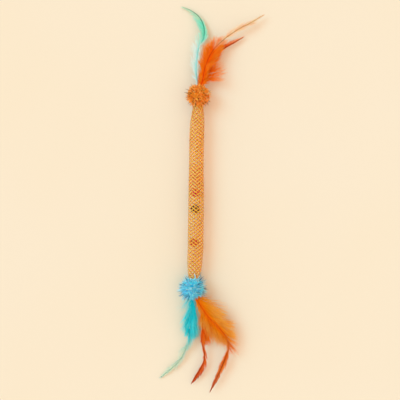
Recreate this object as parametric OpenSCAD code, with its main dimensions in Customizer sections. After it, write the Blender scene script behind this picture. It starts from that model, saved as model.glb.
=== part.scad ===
// Soft cat teaser: a braided mesh tube with loose bells, tinsel pompoms and feathers.
// The toy lies on its pompoms. The tube runs along Y, the orange end towards +Y, and +Z is up.
// The origin is the middle of the tube, on its axis.

/* [Mesh tube] */
// Outer diameter along the middle of the tube
tube_d = 18; // [17:0.5:24]
// Distance between the centres of the two pompoms
pompom_spacing = 250; // [220:5:320]
// Length over which each end of the tube draws in to its tie
taper_l = 37; // [25:1:50]
// Strands that wind each way round the tube
strands_each_way = 8; // [6:1:8]
// Rings of crossings between the two ties
crossing_rings = 32; // [28:1:34]
// Width of one strand
strand_w = 1; // [0.8:0.1:1.2]
// Thickness of one strand
strand_t = 0.5; // [0.4:0.05:0.6]

/* [Neck ties and glue plugs] */
// Diameter of the plug of glue inside each gathered end
plug_d = 7.2; // [7:0.1:8]
// Length of the plug of glue
plug_l = 11; // [9:0.5:13]
// How far the plug reaches past the centre of its pompom
plug_reach = 3; // [2:0.5:4]
// Depth of the sockets for the quills
socket_l = 10; // [6:0.5:10]
// Diameter of the whipping thread
thread_d = 0.8; // [0.6:0.1:1]
// Turns of thread in each tie
thread_turns = 5; // [3:1:6]
// Length of the gathered neck under each tie
neck_l = 7; // [6:0.5:8]
// How far the neck starts past the inner end of its plug
neck_setback = 2; // [1:0.5:3]
// Length of the mesh that flares out past each neck
tail_l = 4; // [2:0.5:5]
// How far the mesh stands out all round at the end of its tail
tail_flare_w = 0.8; // [0:0.1:1]

/* [Tinsel pompoms] */
// Diameter of the orange pompom over its tips
orange_pompom_d = 35; // [32:0.5:38]
// Diameter of the blue pompom over its tips
blue_pompom_d = 39; // [36:0.5:42]
// Diameter of the wound backing that the tinsel stands on
backing_d = 20; // [18:0.5:22]
// How far the weight of the toy flattens the orange pompom where it rests
pompom_squash = 2.5; // [2:0.1:4]
// Width of a tinsel strip
strip_w = 1.4; // [1:0.1:1.5]
// Thickness of a tinsel strip at its root
strip_t = 0.5; // [0.4:0.05:0.6]
// Rows of strips from one end of a pompom to the other
strip_rows = 6; // [4:2:6]
// Strips round each half row
strip_columns = 14; // [12:1:14]

/* [Bells] */
// Outer diameter of a bell
bell_d = 12; // [9:0.5:12]
// Thickness of the shell
bell_wall = 0.4; // [0.3:0.05:0.5]
// How far the upper half laps over the lower half
bell_lap = 0.9; // [0.6:0.1:1.2]
// Width of the slits in the lower half
slit_w = 0.9; // [0.6:0.1:1.2]
// Diameter of the holes that end the slits
slit_hole_d = 1.8; // [1.4:0.1:2]
// Diameter of the wire of the loop
loop_wire_d = 0.8; // [0.6:0.1:1]
// Inner diameter of the loop
loop_d = 2.2; // [1.8:0.1:2.6]
// Diameter of the pellet
pellet_d = 3.2; // [2.6:0.1:3.4]
// Place of the first bell along the tube
bell_1_along = -1; // [-10:0.5:20]
// Space between the first and second bells
bell_gap_1 = 8.8; // [6:0.1:12]
// Space between the second and third bells
bell_gap_2 = 31; // [20:0.5:36]

/* [Feathers] */
// Diameter of a quill at its root
quill_d = 1.4; // [1.2:0.1:1.5]
// Diameter of a quill at its tip
quill_tip_d = 0.4; // [0.3:0.05:0.6]
// Height between the three quills in a plug
quill_gap = 2.2; // [2:0.1:2.2]
// Length of the top teal feather
top_teal_l = 130; // [100:1:160]
// Length of the long top orange feather
top_long_l = 140; // [110:1:170]
// Length of the short top orange feather
top_short_l = 105; // [80:1:130]
// Length of the bottom teal feather
bottom_teal_l = 130; // [100:1:160]
// Length of the middle bottom orange feather
bottom_middle_l = 132; // [100:1:160]
// Length of the right bottom orange feather
bottom_right_l = 152; // [120:1:180]
// Width of the fluff near the root of the top teal feather
top_teal_fluff_w = 15; // [10:1:18]
// Width of the fluff of the long top orange feather
top_long_fluff_w = 24; // [16:1:28]
// Width of the fluff of the short top orange feather
top_short_fluff_w = 20; // [12:1:24]
// Width of the fluff of the bottom teal feather
bottom_teal_fluff_w = 23; // [16:1:26]
// Width of the fluff of the middle bottom orange feather
bottom_middle_fluff_w = 20; // [14:1:24]
// Width of the fluff of the right bottom orange feather
bottom_right_fluff_w = 25; // [16:1:28]
// Width of the smooth vane of a slender feather
slim_vane_w = 6.5; // [4:0.5:9]
// Width of the smooth vane of a broad feather
broad_vane_w = 9; // [6:0.5:12]
// Share of a lopsided feather's width that lies on its narrow side
narrow_side_share = 0.22; // [0.1:0.01:0.5]
// Height of the lowest feather tips above the surface
low_tip_h = 2; // [1:0.5:4]
// Height that the tip of each next feather lies above the one below it
tip_step = 3.2; // [2.5:0.1:4]

/* [Hidden] */

// Colours
mesh_colour = [0.93, 0.62, 0.24];
thread_colour = [0.85, 0.45, 0.15];
glue_colour = [0.93, 0.88, 0.74];
orange_tinsel_colour = [0.96, 0.48, 0.13];
blue_tinsel_colour = [0.25, 0.72, 0.88];
teal_colour = [0.12, 0.74, 0.77];
orange_colour = [0.98, 0.43, 0.06];
rust_colour = [0.86, 0.35, 0.12];
bell_colours = [[0.85, 0.25, 0.3], [0.2, 0.32, 0.18], [0.8, 0.15, 0.3]];
wire_colour = [0.8, 0.76, 0.66];
steel_colour = [0.6, 0.62, 0.65];

// Clearances, and how far a cut runs past what it cuts
seat_gap = 0.15;
quill_fit = 0.1;
loose_gap = 0.3;
lap_fit = 0.05;
overrun = 1;
round_fn = 64;

// The toy as it lies: the height of its axis, and the places of what is at each end
pompom_y = pompom_spacing / 2;
axis_h = orange_pompom_d / 2 - pompom_squash;
mouth_y = pompom_y + plug_reach;

// The mesh: the radius of the surface where its two layers of strands meet
middle_r = tube_d / 2 - strand_t;
chord_share = cos(90 / strands_each_way);
plug_r = plug_d / 2;
plug_bevel = 0.5;
neck_r = (plug_r + seat_gap) / chord_share + strand_t;
neck_y = mouth_y - plug_l + neck_setback;
neck_end_y = neck_y + neck_l;
tail_y = neck_end_y + tail_l;
taper_y = neck_y - taper_l;
ring_step = 2 * neck_y / (crossing_rings - 1);
ring_y = concat(
    [-tail_y, -neck_end_y],
    [for (i = [0 : crossing_rings - 1]) -neck_y + i * ring_step],
    [neck_end_y, tail_y]
);

// The ties and the bores round them
tie_r = neck_r + strand_t + seat_gap;
tie_y = neck_y + thread_d / 2 + (neck_l - thread_turns * thread_d) / 2;
tie_outer_r = tie_r + thread_d;
backing_r = backing_d / 2;
backing_bore_r = (tie_outer_r + seat_gap) / cos(180 / strip_columns);

// Where the strips of a pompom point: their angles from the feathers' axis
open_angle = 36;
tube_angle = 148;
strip_tip_share = 0.6;
strip_uneven_share = 0.14;
strip_scatter_share = 0.07;
// Turns from one strip to the next that scatter how it leans across and along its row, and its length
across_turn = 137.5;
along_turn = 83.7;
length_turn = 61.3;

// Bells
bell_r = bell_d / 2;
cup_r = bell_r - bell_wall - lap_fit;
bore_r = (tube_d / 2 - 2 * strand_t) * chord_share;
bell_drop = bore_r - bell_r - loose_gap;
pellet_r = pellet_d / 2;
pellet_drop = cup_r - bell_wall - pellet_r - loose_gap;
loop_r = (loop_d + loop_wire_d) / 2;
loop_rise = bell_r + loop_wire_d / 2;
slit_end_angle = 58;
bell_along = [
    bell_1_along,
    bell_1_along - bell_d - bell_gap_1,
    bell_1_along - 2 * bell_d - bell_gap_1 - bell_gap_2
];
bell_points = [1, -1, -1];

// Feathers: centre lines as shares of the length, from the mouth of the plug, x to the right and y away
feather_steps = 30;
barb_lean_share = 0.55;
barb_notch_share = 0.2;
even_share = 0.5;
droop_power = 1.4;
top_teal_shares = [
    [0, 0], [-0.012, 0.115], [-0.03, 0.225], [-0.015, 0.435], [0.035, 0.555],
    [0.037, 0.665], [-0.01, 0.77], [-0.1, 0.84], [-0.19, 0.875]
];
top_long_shares = [
    [0, 0], [0.03, 0.1], [0.063, 0.267], [0.13, 0.41], [0.232, 0.514],
    [0.337, 0.595], [0.476, 0.677], [0.585, 0.748]
];
top_short_shares = [
    [0, 0], [0.067, 0.238], [0.124, 0.39], [0.2, 0.5], [0.31, 0.576], [0.41, 0.638], [0.537, 0.72]
];
bottom_teal_shares = [
    [0, 0], [0.01, 0.075], [-0.008, 0.296], [-0.012, 0.496], [-0.062, 0.608],
    [-0.122, 0.727], [-0.295, 0.888]
];
bottom_middle_shares = [
    [0, 0], [0.04, 0.075], [0.094, 0.19], [0.108, 0.358], [0.102, 0.486],
    [0.133, 0.623], [0.119, 0.731], [0.014, 0.923]
];
bottom_right_shares = [
    [0, 0], [0.111, 0.182], [0.209, 0.282], [0.294, 0.382], [0.32, 0.466],
    [0.3, 0.553], [0.257, 0.674], [0.174, 0.864]
];
// Widths along a feather, as shares of the full widths of its fluff and its vane
fluff_shares = [
    [0, 0], [0.06, 0.08], [0.1, 0.35], [0.18, 0.9], [0.26, 1], [0.4, 0.85], [0.5, 0.3], [0.56, 0]
];
vane_shares = [[0, 0], [0.3, 0.2], [0.5, 0.95], [0.62, 1], [0.85, 0.75], [0.95, 0.4], [1, 0.04]];

function mix(a, b, t) = a + (b - a) * t;
function unit(v) = v / norm(v);
// A steady scatter between -1 and 1
function scatter(i, turn) = sin(i * turn);
// A quad as two triangles
function quad(a, b, c, d) = [[a, b, c], [a, c, d]];
function join(lists) = [for (list = lists) for (item = list) item];

// The tube's middle surface: full width, then drawn in ever faster, the neck, and the flared tail
function taper_share(along) = (along - taper_y) / taper_l;
function mesh_r(along) =
    along < taper_y ? middle_r
    : along < neck_y ? mix(middle_r, neck_r, pow(taper_share(along), 2))
    : along < neck_end_y ? neck_r
    : neck_r + tail_flare_w * (along - neck_end_y) / tail_l;

// One crossing: the diamond where two strands cross, as its top, right, bottom and left corners
function ring_gap(ring) = ring == 0 ? ring_y[1] - ring_y[0] : ring_y[ring] - ring_y[ring - 1];
function lean_at(ring) =
    atan(PI * mesh_r(abs(ring_y[ring])) / strands_each_way / min(ring_gap(ring), ring_step));
function corner(ring, turn, along, level) =
    let (y = ring_y[ring] + along, r = mesh_r(abs(y)) + level)
    [r * cos(turn), y, r * sin(turn)];
function crossing(ring, i) =
    let (
        lean = lean_at(ring),
        half_y = strand_w / 2 / sin(lean),
        half_turn = strand_w / 2 / cos(lean) / mesh_r(abs(ring_y[ring])) * 180 / PI,
        turn = 360 / strands_each_way * (i + ring / 2)
    )
    [for (place = [[0, half_y], [half_turn, 0], [0, -half_y], [-half_turn, 0]])
        for (level = [strand_t, 0, -strand_t]) corner(ring, turn + place[0], place[1], level)];

// Corner numbers, and the layer that a strand takes: 0 outer, 1 inner
up = 0;
right = 1;
down = 2;
left = 3;
corner_points = 3;
crossing_points = 4 * corner_points;
function at(ring, i, place, level) =
    ((ring * strands_each_way) + (i + strands_each_way) % strands_each_way) * crossing_points
    + place * corner_points + level;
// The corners of one layer's half of a side of a crossing, from corner a to corner b
function side_corners(ring, i, a, b, layer) = [
    at(ring, i, a, layer), at(ring, i, b, layer), at(ring, i, b, layer + 1), at(ring, i, a, layer + 1)
];
function wall(ring, i, a, b, layer) =
    let (c = side_corners(ring, i, a, b, layer))
    quad(c[0], c[1], c[2], c[3]);
// The four faces of a strand between two crossings
function strand(ring, i, a, b, next, c, d, layer) =
    let (
        near = side_corners(ring, i, a, b, layer),
        far = side_corners(ring + 1, next, d, c, 1 - layer)
    )
    join([for (k = [0 : 3]) quad(near[k], near[(k + 1) % 4], far[(k + 1) % 4], far[k])]);
function crossing_faces(ring, i, rings) =
    let (first = ring == 0, last = ring == rings - 1, rising = ring % 2)
    concat(
        quad(at(ring, i, up, 0), at(ring, i, left, 0), at(ring, i, down, 0), at(ring, i, right, 0)),
        quad(at(ring, i, up, 2), at(ring, i, right, 2), at(ring, i, down, 2), at(ring, i, left, 2)),
        wall(ring, i, up, right, last ? rising : 1 - rising),
        last ? wall(ring, i, up, right, 1 - rising) : strand(ring, i, up, right, i, down, left, rising),
        wall(ring, i, left, up, rising),
        last ? wall(ring, i, left, up, 1 - rising)
            : strand(ring, i, left, up, i - 1, right, down, 1 - rising),
        wall(ring, i, down, left, 1 - rising),
        first ? wall(ring, i, down, left, rising) : [],
        wall(ring, i, right, down, rising),
        first ? wall(ring, i, right, down, 1 - rising) : []
    );

module mesh_tube() {
    rings = len(ring_y);
    ring_list = [0 : rings - 1];
    strand_list = [0 : strands_each_way - 1];
    color(mesh_colour)
        polyhedron(
            points = join([for (ring = ring_list) for (i = strand_list) crossing(ring, i)]),
            faces = join([for (ring = ring_list) for (i = strand_list) crossing_faces(ring, i, rings)]),
            convexity = 10
        );
}

// Places what belongs to one end of the tube: side is 1 for the top and -1 for the bottom
module at_end(side) {
    mirror([0, side < 0 ? 1 : 0, 0])
        children();
}

// Turns a shape that is drawn round Z to lie along Y
module along_tube() {
    rotate([-90, 0, 0])
        children();
}

module neck_tie(side) {
    color(thread_colour)
        at_end(side)
        translate([0, tie_y, 0])
        along_tube()
        rotate_extrude($fn = round_fn) {
            for (turn = [0 : thread_turns - 1])
                translate([tie_r + thread_d / 2, turn * thread_d])
                circle(d = thread_d, $fn = round_fn);
            translate([tie_r, 0])
                square([thread_d * 3 / 4, (thread_turns - 1) * thread_d]);
        }
}

module glue_plug(side) {
    color(glue_colour)
        at_end(side)
        translate([0, mouth_y, 0])
        along_tube()
        difference() {
            translate([0, 0, -plug_l])
                rotate_extrude($fn = round_fn)
                polygon([
                    [0, 0], [plug_r - plug_bevel, 0], [plug_r, plug_bevel], [plug_r, plug_l - plug_bevel],
                    [plug_r - plug_bevel, plug_l], [0, plug_l]
                ]);
            for (level = [-1 : 1])
                translate([0, level * quill_gap, -socket_l])
                cylinder(d = quill_d + 2 * quill_fit, h = socket_l + overrun, $fn = round_fn);
        }
}

// Tinsel pompom: a wound backing with a bore for the neck, whose faces each carry one strip
function on_ball(r, polar, turn) = r * [sin(polar) * cos(turn), cos(polar), sin(polar) * sin(turn)];
function rim_polar() = asin(backing_bore_r / backing_r);
function row_share(row) = row / strip_rows;
function backing_point(row, column) =
    on_ball(
        backing_r,
        mix(rim_polar(), 180 - rim_polar(), row_share(row)),
        360 / strip_columns * (column + row / 2)
    );
function backing_at(row, column) = row * strip_columns + (column + strip_columns) % strip_columns;
// The three corners of each face: two on one row and the third on the next
function face_corners(row, column, upper) =
    upper
        ? [[row, column], [row, column + 1], [row + 1, column]]
        : [[row + 1, column + 1], [row + 1, column], [row, column + 1]];
// Cuts a strip flat where it meets the surface that the toy lies on
function to_surface(root, tip) =
    tip[2] < -axis_h ? mix(root, tip, (-axis_h - root[2]) / (tip[2] - root[2])) : tip;
function strip_points(corners, number, reach) =
    let (
        p = [for (c = corners) backing_point(c[0], c[1])],
        middle = (p[0] + p[1] + p[2]) / 3,
        across = unit(p[1] - p[0]),
        rise = unit(p[2] - (p[0] + p[1]) / 2),
        root = [
            middle - across * strip_w / 2 - rise * strip_t / 3,
            middle + across * strip_w / 2 - rise * strip_t / 3,
            middle + rise * strip_t * 2 / 3
        ],
        row = (corners[0][0] + corners[1][0] + corners[2][0]) / 3,
        turn = atan2(middle[2], middle[0]),
        lean = across * scatter(number, across_turn) + rise * scatter(number, along_turn),
        aim = on_ball(1, mix(open_angle, tube_angle, row_share(row)), turn) + strip_scatter_share * lean,
        length = (reach - backing_r) * (1 - strip_uneven_share * (1 + scatter(number, length_turn)) / 2),
        end = middle + unit(aim) * length
    )
    concat(root, [for (r = root) to_surface(r, end + (r - middle) * strip_tip_share)]);
// A strip has three corners at its root, joined to those of its face of the backing, and three at its tip
strip_corners = 3;
function strip_faces(corners, first) =
    let (face = [for (place = corners) backing_at(place[0], place[1])], tip = first + strip_corners)
    concat(
        join([for (k = [0 : strip_corners - 1])
            let (next = (k + 1) % strip_corners)
            concat(
                quad(face[k], face[next], first + next, first + k),
                quad(first + k, first + next, tip + next, tip + k)
            )]),
        [[tip, tip + 1, tip + 2]]
    );

module pompom(side, diameter) {
    faces_list = [for (row = [0 : strip_rows - 1]) for (column = [0 : strip_columns - 1])
        for (upper = [true, false]) face_corners(row, column, upper)];
    backing_count = (strip_rows + 1) * strip_columns;
    strip_list = [0 : len(faces_list) - 1];
    at_end(side)
        translate([0, pompom_y, 0])
        polyhedron(
            points = concat(
                [for (row = [0 : strip_rows]) for (column = [0 : strip_columns - 1])
                    backing_point(row, column)],
                join([for (n = strip_list) strip_points(faces_list[n], n, diameter / 2)])
            ),
            faces = concat(
                join([for (n = strip_list)
                    strip_faces(faces_list[n], backing_count + 2 * strip_corners * n)]),
                join([for (column = [0 : strip_columns - 1])
                    let (far = column - strip_rows / 2)
                    quad(
                        backing_at(0, column + 1), backing_at(0, column),
                        backing_at(strip_rows, far), backing_at(strip_rows, far + 1)
                    )])
            ),
            convexity = 10
        );
}

module pompom_orange() {
    color(orange_tinsel_colour)
        pompom(1, orange_pompom_d);
}

module pompom_blue() {
    color(blue_tinsel_colour)
        pompom(-1, blue_pompom_d);
}

// A smooth curve through the points of a centre line, which leaves the first one straight along Y
function spline(a, b, c, d, t) =
    (2 * b + (c - a) * t + (2 * a - 5 * b + 4 * c - d) * t * t + (3 * b - a - 3 * c + d) * t * t * t) / 2;
function curve_at(points, share) =
    let (
        last = len(points) - 1,
        k = min(floor(share * last), last - 1),
        before = k == 0 ? [0, -points[1][1]] : points[k - 1],
        after = k == last - 1 ? 2 * points[last] - points[last - 1] : points[k + 2]
    )
    spline(before, points[k], points[k + 1], after, share * last - k);
// How far along the curve each of its points lies
function step_to(points, i) = i < len(points) ? norm(points[i] - points[i - 1]) : 0;
function lengths(points) =
    [for (i = 0, sum = 0; i < len(points); i = i + 1, sum = sum + step_to(points, i)) sum];

// The points of a feather's section: its two edges and the four corners of its shaft
section_points = 6;
function feather_section(place, ahead, r, left_w, right_w, lean) =
    let (side = [ahead[1], -ahead[0], 0], front = [ahead[0], ahead[1], 0], z = [0, 0, 1])
    [
        place - side * left_w + front * lean * (left_w - r),
        place - side * r / 2 + z * r * sin(60),
        place + side * r / 2 + z * r * sin(60),
        place + side * right_w + front * lean * (right_w - r),
        place + side * r / 2 - z * r * sin(60),
        place - side * r / 2 - z * r * sin(60)
    ];

// level is -1, 0 or 1: the place of the quill in its plug, counted upwards
// left_share is the share of the width on its left, seen from above
module feather(side, length, shares, fluff_w, vane_w, level, left_share = even_share) {
    path = [for (i = [0 : feather_steps]) curve_at(shares, i / feather_steps) * length];
    run = lengths(path);
    whole = run[feather_steps];
    root_z = level * quill_gap;
    tip_z = low_tip_h + (level + 1) * tip_step - axis_h;
    root_r = quill_d / 2;
    root = feather_section([0, -socket_l + quill_fit, root_z], [0, 1], root_r, root_r, root_r, 0);
    sections = [for (i = [0 : feather_steps])
        let (
            s = run[i] / whole,
            r = mix(quill_d, quill_tip_d, s) / 2,
            ahead = i == 0 ? [0, 1] : unit(path[min(i + 1, feather_steps)] - path[i - 1]),
            vane = max(lookup(s, fluff_shares) * fluff_w, lookup(s, vane_shares) * vane_w),
            left_w = max(r, vane * left_share * (1 - barb_notch_share * (i % 2))),
            right_w = max(r, vane * (1 - left_share) * (1 - barb_notch_share * ((i + 1) % 2)))
        )
        feather_section(
            [path[i][0], path[i][1], mix(root_z, tip_z, pow(s, droop_power))],
            ahead, r, left_w, right_w, barb_lean_share
        )];
    rings = concat([root], sections);
    last = len(rings) - 1;
    at_end(side)
        translate([0, mouth_y, 0])
        polyhedron(
            points = join(rings),
            faces = concat(
                [[0, 1, 5], [1, 4, 5], [1, 2, 4], [2, 3, 4]],
                join([for (i = [0 : last - 1]) for (k = [0 : section_points - 1])
                    let (
                        here = section_points * i,
                        ahead = here + section_points,
                        next = (k + 1) % section_points
                    )
                    quad(here + k, ahead + k, ahead + next, here + next)]),
                [for (f = [[5, 1, 0], [5, 4, 1], [4, 2, 1], [4, 3, 2]])
                    [for (v = f) section_points * last + v]]
            ),
            convexity = 6
        );
}

module feather_top_teal() {
    color(teal_colour)
        feather(
            1, top_teal_l, top_teal_shares, top_teal_fluff_w, broad_vane_w, -1, 1 - narrow_side_share
        );
}

module feather_top_orange_long() {
    color(orange_colour)
        feather(1, top_long_l, top_long_shares, top_long_fluff_w, slim_vane_w, 1);
}

module feather_top_orange_short() {
    color(orange_colour)
        feather(1, top_short_l, top_short_shares, top_short_fluff_w, slim_vane_w, 0);
}

module feather_bottom_teal() {
    color(teal_colour)
        feather(-1, bottom_teal_l, bottom_teal_shares, bottom_teal_fluff_w, broad_vane_w, -1);
}

module feather_bottom_orange_middle() {
    color(rust_colour)
        feather(
            -1, bottom_middle_l, bottom_middle_shares, bottom_middle_fluff_w, slim_vane_w, 0,
            narrow_side_share
        );
}

module feather_bottom_orange_right() {
    color(rust_colour)
        feather(-1, bottom_right_l, bottom_right_shares, bottom_right_fluff_w, broad_vane_w, 1);
}

// A bell is drawn round Z, its loop up, and laid along the tube where it rolled to
module at_bell(number) {
    translate([0, bell_along[number - 1], -bell_drop])
        rotate([-90 * bell_points[number - 1], 0, 0])
        children();
}

// Half of a hollow ball, above z = 0
module half_shell(outer_r, wall) {
    rotate_extrude($fn = round_fn)
        intersection() {
            difference() {
                circle(r = outer_r, $fn = round_fn);
                circle(r = outer_r - wall, $fn = round_fn);
            }
            square([outer_r, outer_r]);
        }
}

module bell_cap(number) {
    color(bell_colours[number - 1])
        at_bell(number)
        difference() {
            union() {
                half_shell(bell_r, bell_wall);
                translate([0, 0, -bell_lap])
                    difference() {
                        cylinder(r = bell_r, h = bell_lap, $fn = round_fn);
                        translate([0, 0, -bell_lap])
                            cylinder(r = bell_r - bell_wall, h = 3 * bell_lap, $fn = round_fn);
                    }
            }
            for (side = [-1, 1])
                translate([side * loop_r, 0, 0])
                cylinder(d = loop_wire_d + 2 * lap_fit, h = bell_r + overrun, $fn = round_fn);
        }
}

module bell_cup(number) {
    color(bell_colours[number - 1])
        at_bell(number)
        mirror([0, 0, 1])
        translate([0, 0, lap_fit])
        difference() {
            half_shell(cup_r, bell_wall);
            for (turn = [0, 90])
                rotate([0, 0, turn])
                intersection() {
                    translate([-cup_r, -slit_w / 2, cup_r * cos(slit_end_angle)])
                        cube([2 * cup_r, slit_w, cup_r]);
                    translate([-cup_r * sin(slit_end_angle), -slit_w / 2, 0])
                        cube([2 * cup_r * sin(slit_end_angle), slit_w, cup_r + overrun]);
                }
            for (turn = [0 : 90 : 270])
                rotate([0, slit_end_angle, turn])
                translate([0, 0, cup_r - 2 * bell_wall])
                cylinder(d = slit_hole_d, h = 2 * bell_wall + overrun, $fn = round_fn);
        }
}

module bell_loop(number) {
    leg_l = 2 * bell_wall + loop_wire_d;
    color(wire_colour)
        at_bell(number)
        translate([0, 0, loop_rise]) {
            rotate([90, 0, 0])
                rotate_extrude(angle = 180, $fn = round_fn)
                translate([loop_r, 0])
                circle(d = loop_wire_d, $fn = round_fn);
            for (side = [-1, 1])
                translate([side * loop_r, 0, -leg_l])
                cylinder(d = loop_wire_d, h = leg_l, $fn = round_fn);
        }
}

module bell_pellet(number) {
    color(steel_colour)
        translate([0, bell_along[number - 1], -bell_drop - pellet_drop])
        sphere(r = pellet_r, $fn = round_fn);
}

mesh_tube();
neck_tie(1);  // neck_tie_top
neck_tie(-1);  // neck_tie_bottom
glue_plug(1);  // glue_plug_top
glue_plug(-1);  // glue_plug_bottom
pompom_orange();
pompom_blue();
feather_top_teal();
feather_top_orange_long();
feather_top_orange_short();
feather_bottom_teal();
feather_bottom_orange_middle();
feather_bottom_orange_right();
bell_cap(1);  // bell_1_cap
bell_cup(1);  // bell_1_cup
bell_loop(1);  // bell_1_loop
bell_pellet(1);  // bell_1_pellet
bell_cap(2);  // bell_2_cap
bell_cup(2);  // bell_2_cup
bell_loop(2);  // bell_2_loop
bell_pellet(2);  // bell_2_pellet
bell_cap(3);  // bell_3_cap
bell_cup(3);  // bell_3_cup
bell_loop(3);  // bell_3_loop
bell_pellet(3);  // bell_3_pellet
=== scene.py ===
"""Looks of the cat teaser: a braided mesh tube with loose bells, tinsel pompoms and dyed feathers."""

import math

import bpy
import numpy as np
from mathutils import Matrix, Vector

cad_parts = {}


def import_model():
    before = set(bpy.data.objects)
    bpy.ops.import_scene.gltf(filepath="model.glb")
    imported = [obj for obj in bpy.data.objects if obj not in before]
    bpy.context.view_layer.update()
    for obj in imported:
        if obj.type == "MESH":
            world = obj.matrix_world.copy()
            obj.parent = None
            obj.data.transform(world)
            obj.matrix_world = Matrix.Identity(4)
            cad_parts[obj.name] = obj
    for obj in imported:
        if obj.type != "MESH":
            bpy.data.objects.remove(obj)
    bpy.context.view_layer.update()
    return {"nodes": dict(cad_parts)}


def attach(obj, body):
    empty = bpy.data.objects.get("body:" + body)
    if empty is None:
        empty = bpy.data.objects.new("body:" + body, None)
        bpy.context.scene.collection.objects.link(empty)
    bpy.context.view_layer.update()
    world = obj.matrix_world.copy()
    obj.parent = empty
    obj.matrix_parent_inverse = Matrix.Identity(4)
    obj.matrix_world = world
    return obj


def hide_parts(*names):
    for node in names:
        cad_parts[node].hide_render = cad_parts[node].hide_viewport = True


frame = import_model()
nodes = frame["nodes"]

MM = 0.001
ANY_PHASE = 6.28
TINY = 1e-12

# The toy's own sizes in millimetres, as in the CAD source
MIDDLE_R = 8.5
NECK_R = 4.3236
TAPER_Y = 82.0
NECK_Y = 119.0
NECK_END_Y = 126.0
TAIL_Y = 130.0
TAIL_FLARE = 0.8
POMPOM_Y = 125.0
MOUTH_Y = 128.0
SOCKET_L = 9.9
AXIS_H = 15.0
QUILL_GAP = 2.2
LOW_TIP_H = 2.0
TIP_STEP = 3.2
DROOP_POWER = 1.4


# Shader nodes
def srgb(red, green, blue):
    """A colour as the screen shows it, 0 to 255, as the linear value that a shader takes."""
    shown = np.array([red, green, blue], float) / 255
    # the curve of the sRGB standard
    linear = np.where(shown <= 0.04045, shown / 12.92, ((shown + 0.055) / 1.055) ** 2.4)
    return (*[float(x) for x in linear], 1.0)


def node(tree, kind, inputs=None, **settings):
    """A shader node with its settings, and with its inputs linked or set."""
    made = tree.nodes.new(kind)
    for name, value in settings.items():
        setattr(made, name, value)
    for name, value in (inputs or {}).items():
        socket = made.inputs[name]
        if isinstance(value, bpy.types.NodeSocket):
            tree.links.new(value, socket)
        else:
            socket.default_value = value
    return made


def ramp(tree, factor, stops, mode="LINEAR"):
    """The colour output of a ramp; stops are (place, red, green, blue)."""
    made = node(tree, "ShaderNodeValToRGB", {"Fac": factor})
    made.color_ramp.interpolation = mode
    elements = made.color_ramp.elements
    while len(elements) < len(stops):
        elements.new(0.5)
    for element, (place, *colour) in zip(elements, stops):
        element.position = place
        element.color = srgb(*colour)
    return made.outputs["Color"]


# The sockets of a Mix node that mixes colours
MIX_FACTOR, MIX_LOW, MIX_HIGH = 0, 6, 7
MIX_RESULT = 2


def blend(tree, factor, low, high, mode="MIX"):
    """Two colours mixed: all low where the factor is 0, all high where it is 1."""
    inputs = {MIX_FACTOR: factor, MIX_LOW: low, MIX_HIGH: high}
    return node(tree, "ShaderNodeMix", inputs, data_type="RGBA", blend_type=mode).outputs[MIX_RESULT]


def spread(tree, value, low, high, to=(0.0, 1.0)):
    """The value with its range from low to high spread over another range, and held at its ends."""
    inputs = {"Value": value, "From Min": low, "From Max": high, "To Min": to[0], "To Max": to[1]}
    return node(tree, "ShaderNodeMapRange", inputs).outputs["Result"]


def arithmetic(tree, operation, *values):
    return node(tree, "ShaderNodeMath", dict(enumerate(values)), operation=operation).outputs[0]


def noise(tree, vector, scale, detail=3.0, roughness=0.55):
    inputs = {"Vector": vector, "Scale": scale, "Detail": detail, "Roughness": roughness}
    return node(tree, "ShaderNodeTexNoise", inputs).outputs["Fac"]


def uv_parts(tree, name):
    """The two values of a UV map."""
    vector = node(tree, "ShaderNodeUVMap", uv_map=name).outputs["UV"]
    parts = node(tree, "ShaderNodeSeparateXYZ", {"Vector": vector})
    return parts.outputs["X"], parts.outputs["Y"]


def object_place(tree):
    return node(tree, "ShaderNodeTexCoord").outputs["Object"]


def principled(name, **constants):
    """A material, its tree and its shader; the constants are the shader's own sockets."""
    made = bpy.data.materials.new(name)
    made.use_nodes = True
    shader = made.node_tree.nodes["Principled BSDF"]
    for key, value in constants.items():
        shader.inputs[key.replace("_", " ")].default_value = value
    return made, made.node_tree, shader


def paint(tree, shader, colour):
    tree.links.new(colour, shader.inputs["Base Color"])


def roughen(tree, shader, marks, rough, low=0.3, high=0.7):
    """Roughness that follows marks, over the range in which most of a noise's values lie."""
    tree.links.new(spread(tree, marks, low, high, to=rough), shader.inputs["Roughness"])


def bump(tree, shader, height, strength, depth):
    """Small relief, with its depth in millimetres."""
    made = node(tree, "ShaderNodeBump", {"Height": height, "Strength": strength, "Distance": depth * MM})
    tree.links.new(made.outputs["Normal"], shader.inputs["Normal"])


def let_light_through(material, shader, colour, share):
    """Mixes in a translucent shader, for barbs that are lit from behind."""
    tree = material.node_tree
    glow = node(tree, "ShaderNodeBsdfTranslucent", {"Color": colour})
    mixed = node(tree, "ShaderNodeMixShader", {0: share, 1: shader.outputs[0], 2: glow.outputs[0]})
    tree.links.new(mixed.outputs[0], tree.nodes["Material Output"].inputs["Surface"])


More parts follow.
